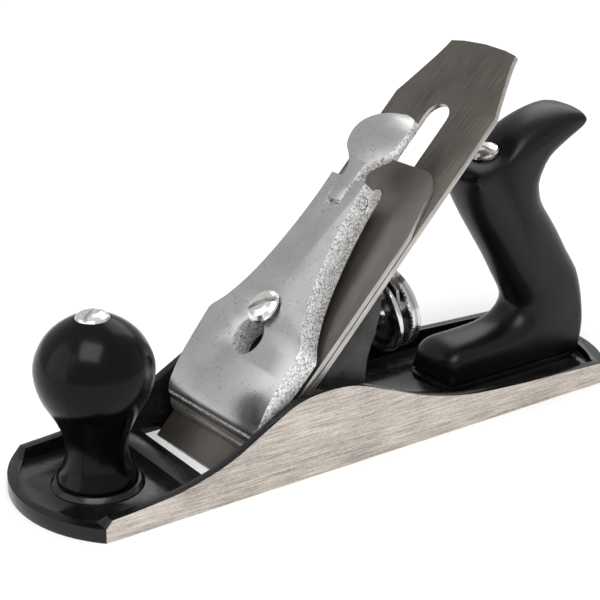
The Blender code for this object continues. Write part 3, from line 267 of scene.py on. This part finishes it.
def mergedNode(nodeName):
    work = bmesh.new()
    work.from_mesh(nodes[nodeName].data)
    bmesh.ops.remove_doubles(work, verts=work.verts, dist=meshing["merge"])
    return work


def isKeen(edge, degrees):
    return edge.is_manifold and edge.calc_face_angle(0) > math.radians(degrees)


def smoothShade(work):
    for face in work.faces:
        face.smooth = True
    for edge in work.edges:
        edge.smooth = not isKeen(edge, meshing["crease"])


def addPiece(work, pieceName, looks, nodeName):
    data = bpy.data.meshes.new(pieceName)
    work.to_mesh(data)
    work.free()
    if "custom_normal" in data.attributes:  # a copied node's normals no longer fit its eased edges
        data.attributes.remove(data.attributes["custom_normal"])
    piece = bpy.data.objects.new(pieceName, data)
    bpy.context.scene.collection.objects.link(piece)
    for look in looks:
        data.materials.append(finishes[look])
    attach(piece, bodyOf[nodeName])
    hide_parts(nodeName)
    return piece


# a copy of a node, its edges sharper than keen degrees eased by ease, each face given a finish by pick
def finishedCopy(nodeName, pieceName, looks, pick=None, ease=0.0003, keen=30):
    flatWithin = math.radians(0.5)  # faces closer than this to one plane become one face
    work = mergedNode(nodeName)
    bmesh.ops.dissolve_limit(work, angle_limit=flatWithin, verts=work.verts, edges=work.edges)
    for face in work.faces:
        face.material_index = pick(face) if pick else 0
    sharpEdges = [edge for edge in work.edges if isKeen(edge, keen)]
    if ease and sharpEdges:
        bmesh.ops.bevel(work, geom=sharpEdges, offset=ease, offset_type="OFFSET", segments=2, profile=0.5,
                        affect="EDGES", material=-1, clamp_overlap=True, loop_slide=True)
    smoothShade(work)
    return addPiece(work, pieceName, looks, nodeName)


# the sides and the sole are ground bright, and all the rest is enamelled
casting = {"groundSideAt": 0.0301, "sideFacing": 0.97, "soleBelow": 0.0004, "soleFacing": 0.9,
           "ease": 0.00035}


def castingLook(face):
    middle = face.calc_center_median()
    isSole = face.normal.z < -casting["soleFacing"] and middle.z < casting["soleBelow"]
    isSide = abs(face.normal.y) > casting["sideFacing"] and abs(middle.y) > casting["groundSideAt"]
    return 1 if isSole or isSide else 0


finishedCopy("body_casting", "plane_casting", ["blackEnamel", "groundIron"], castingLook, casting["ease"])
print("casting done")

# the lever cap's and cam's upper faces are polished, and the iron's flat faces carry the darker steel
capUnit = {"polishedFacing": 0.72, "ease": 0.0003}
cutter = {"bevelBelow": 0.004, "flatFacing": 0.8, "ironEase": 0.00015, "breakerEase": 0.00018}


def capLook(face):
    return 0 if face.normal.dot(offBed) > capUnit["polishedFacing"] else 1


def ironLook(face):
    isLow = face.calc_center_median().z < cutter["bevelBelow"]
    return 1 if isLow or abs(face.normal.dot(offBed)) < cutter["flatFacing"] else 0


finishedCopy("frog", "frog_bed", ["castFrog"])
finishedCopy("lever_cap", "lever_cap_plate", ["polishedCap", "roughPlate"], capLook, capUnit["ease"])
finishedCopy("cam_lever", "lever_cap_cam", ["polishedCap", "roughPlate"], capLook, capUnit["ease"])
finishedCopy("plane_iron", "cutting_iron", ["toolSteel", "bevelSteel"], ironLook, cutter["ironEase"])
finishedCopy("cap_iron", "chip_breaker", ["capSteel", "bevelSteel"], ironLook, cutter["breakerEase"])
print("iron, breaker, lever cap and frog done")

knob = {"x": -0.091, "seamAt": 215, "seamWidth": 1.6, "seamSteps": 4, "steps": 44, "seamRise": 0.00013,
        "ridgeShare": 0.15, "ridgeBeyond": 0.0085}


# the node's own profile turned in four stretches, with fine steps at the two seams that the mould leaves
def ballKnob():
    work = mergedNode("knob")
    middle = Vector((knob["x"], 0, 0))
    onPlane = 1e-6
    outside = [vert for vert in work.verts if abs(vert.co.y) > onPlane or vert.co.x < knob["x"]]
    bmesh.ops.delete(work, geom=outside, context="VERTS")
    bmesh.ops.delete(work, geom=work.faces[:], context="FACES_KEEP_BOUNDARY")
    start = math.radians(knob["seamAt"] - knob["seamWidth"] / 2)
    bmesh.ops.rotate(work, cent=middle, matrix=Matrix.Rotation(start, 3, "Z"), verts=work.verts)
    seam = math.radians(knob["seamWidth"])
    geom = work.verts[:] + work.edges[:]
    for angle, steps in ((seam, knob["seamSteps"]), (math.pi - seam, knob["steps"])) * 2:
        made = bmesh.ops.spin(work, geom=geom, cent=middle, axis=(0, 0, 1), angle=angle, steps=steps)
        geom = made["geom_last"]
    bmesh.ops.remove_doubles(work, verts=work.verts, dist=meshing["merge"])
    ridge = math.radians(knob["seamAt"])
    for vert in work.verts:
        spoke = Vector((vert.co.x - knob["x"], vert.co.y, 0))
        turned = (math.atan2(spoke.y, spoke.x) - ridge + math.pi / 2) % math.pi - math.pi / 2
        if abs(turned) < seam * knob["ridgeShare"] and spoke.length > knob["ridgeBeyond"]:
            vert.co += spoke.normalized() * knob["seamRise"]
    bmesh.ops.recalc_face_normals(work, faces=work.faces)
    smoothShade(work)
    return addPiece(work, "ball_knob", ["glossBlack"], "knob")


ballKnob()
handle = {"ease": 0, "keen": 60}  # the handle's edges are already round
finishedCopy("tote", "shaped_handle", ["satinBlack"], None, handle["ease"], handle["keen"])
print("handles done")

# each row of beads is a distance along the axle and the rim's radius there
wheel = {"x": 0.024, "z": 0.0378, "tilt": 10, "beads": 60, "bead": 0.00068, "sunk": 0.6,
         "rows": ((-0.0038, 0.01475), (0.0013, 0.01475), (0.0040, 0.01475)), "beadSides": 8, "beadRings": 6}


def beadedWheel():
    work = mergedNode("depth_wheel")
    tilted = Matrix.Rotation(-math.radians(wheel["tilt"]), 4, "Y")
    onAxle = Matrix.Rotation(math.pi / 2, 4, "Y")
    place = Matrix.Translation((wheel["x"], 0, wheel["z"])) @ tilted @ onAxle
    for along, radius in wheel["rows"]:
        beadPlace = Matrix.Translation((radius - wheel["bead"] * wheel["sunk"], 0, along))
        for count in range(wheel["beads"]):
            turn = Matrix.Rotation(2 * math.pi * count / wheel["beads"], 4, "Z")
            bmesh.ops.create_uvsphere(work, u_segments=wheel["beadSides"], v_segments=wheel["beadRings"],
                                      radius=wheel["bead"], matrix=place @ turn @ beadPlace)
    smoothShade(work)
    return addPiece(work, "beaded_wheel", ["polishedWheel"], "depth_wheel")


beadedWheel()
print("depth wheel done")

# nodes whose shape is already right only get a better finish
kept = {
    "springSteel": ["lever_cap_spring", "frog_clip", "y_lever", "depth_stud", "frog_washer_left",
                    "frog_washer_right"],
    "brightSteel": ["frog_screw_left", "frog_screw_right", "frog_adjusting_screw", "frog_clip_screw",
                    "y_lever_pin", "cap_iron_screw", "lever_cap_spring_rivet", "knob_bolt", "tote_bolt"],
    "roughPlate": ["cam_pin"],
    "knobNickel": ["lever_cap_screw", "knob_nut", "tote_nut"],
}
for look, names in kept.items():
    for name in names:
        slots = nodes[name].data.materials
        if not len(slots):
            slots.append(finishes[look])
        for index in range(len(slots)):
            slots[index] = finishes[look]
print("kept nodes finished:", sum(len(names) for names in kept.values()))

# each light is its power, its size and its place, and all of them face the middle of the plane
studio = {"floor": 0.90, "floorVaries": 0.03, "floorReach": 40, "sky": 0.62, "facing": (0, 0, 0.04),
          "lights": {"keyLight": (14, 0.9, (-0.5, -0.5, 1.3)),
                     "fillLight": (5, 1.2, (-1.2, 0.3, 0.6)),
                     "rimLight": (6, 1.0, (0.9, 0.6, 1.0))}}


def addFloor():
    material, place, shader = startMaterial("paleFloor")
    faint = place.noise(3, 2.0).spread(0.3, 0.7)
    colour = faint.between(grey(studio["floor"]), grey(studio["floor"] + studio["floorVaries"]))
    finishMaterial(material, shader, {"Base Color": colour}, {"Roughness": 0.9})
    work = bmesh.new()
    bmesh.ops.create_grid(work, x_segments=1, y_segments=1, size=studio["floorReach"])
    data = bpy.data.meshes.new("paleFloor")
    work.to_mesh(data)
    work.free()
    data.materials.append(material)
    floor = bpy.data.objects.new("paleFloor", data)
    bpy.context.scene.collection.objects.link(floor)


def facing(direction):
    return Vector(direction).to_track_quat("-Z", "Y")


def addLight(name, power, size, place):
    lamp = bpy.data.lights.new(name, "AREA")
    lamp.energy = power
    lamp.size = size
    holder = bpy.data.objects.new(name, lamp)
    bpy.context.scene.collection.objects.link(holder)
    holder.location = place
    holder.rotation_euler = facing(Vector(studio["facing"]) - Vector(place)).to_euler()


addFloor()
for name, (power, size, place) in studio["lights"].items():
    addLight(name, power, size, place)
sky = bpy.data.worlds.new("studioSky")
sky.use_nodes = True
background = sky.node_tree.nodes["Background"]
background.inputs["Color"].default_value = (1, 1, 1, 1)
background.inputs["Strength"].default_value = studio["sky"]
bpy.context.scene.world = sky
bpy.context.scene.view_settings.view_transform = "Standard"

view = {"place": (-0.3236, -0.4287, 0.2634), "look": (0.5448, 0.7498, -0.3756), "roll": 0.91,
        "lens": 102.2, "sensor": 36, "near": 0.01}
lens = bpy.data.cameras.new("camera")
lens.lens = view["lens"]
lens.sensor_width = view["sensor"]
lens.clip_start = view["near"]
camera = bpy.data.objects.new("camera", lens)
bpy.context.scene.collection.objects.link(camera)
aim = facing(view["look"]).to_matrix().to_4x4()
rolled = Matrix.Rotation(math.radians(view["roll"]), 4, "Z")
camera.matrix_world = Matrix.Translation(view["place"]) @ aim @ rolled
bpy.context.scene.camera = camera
print("studio and camera ready")
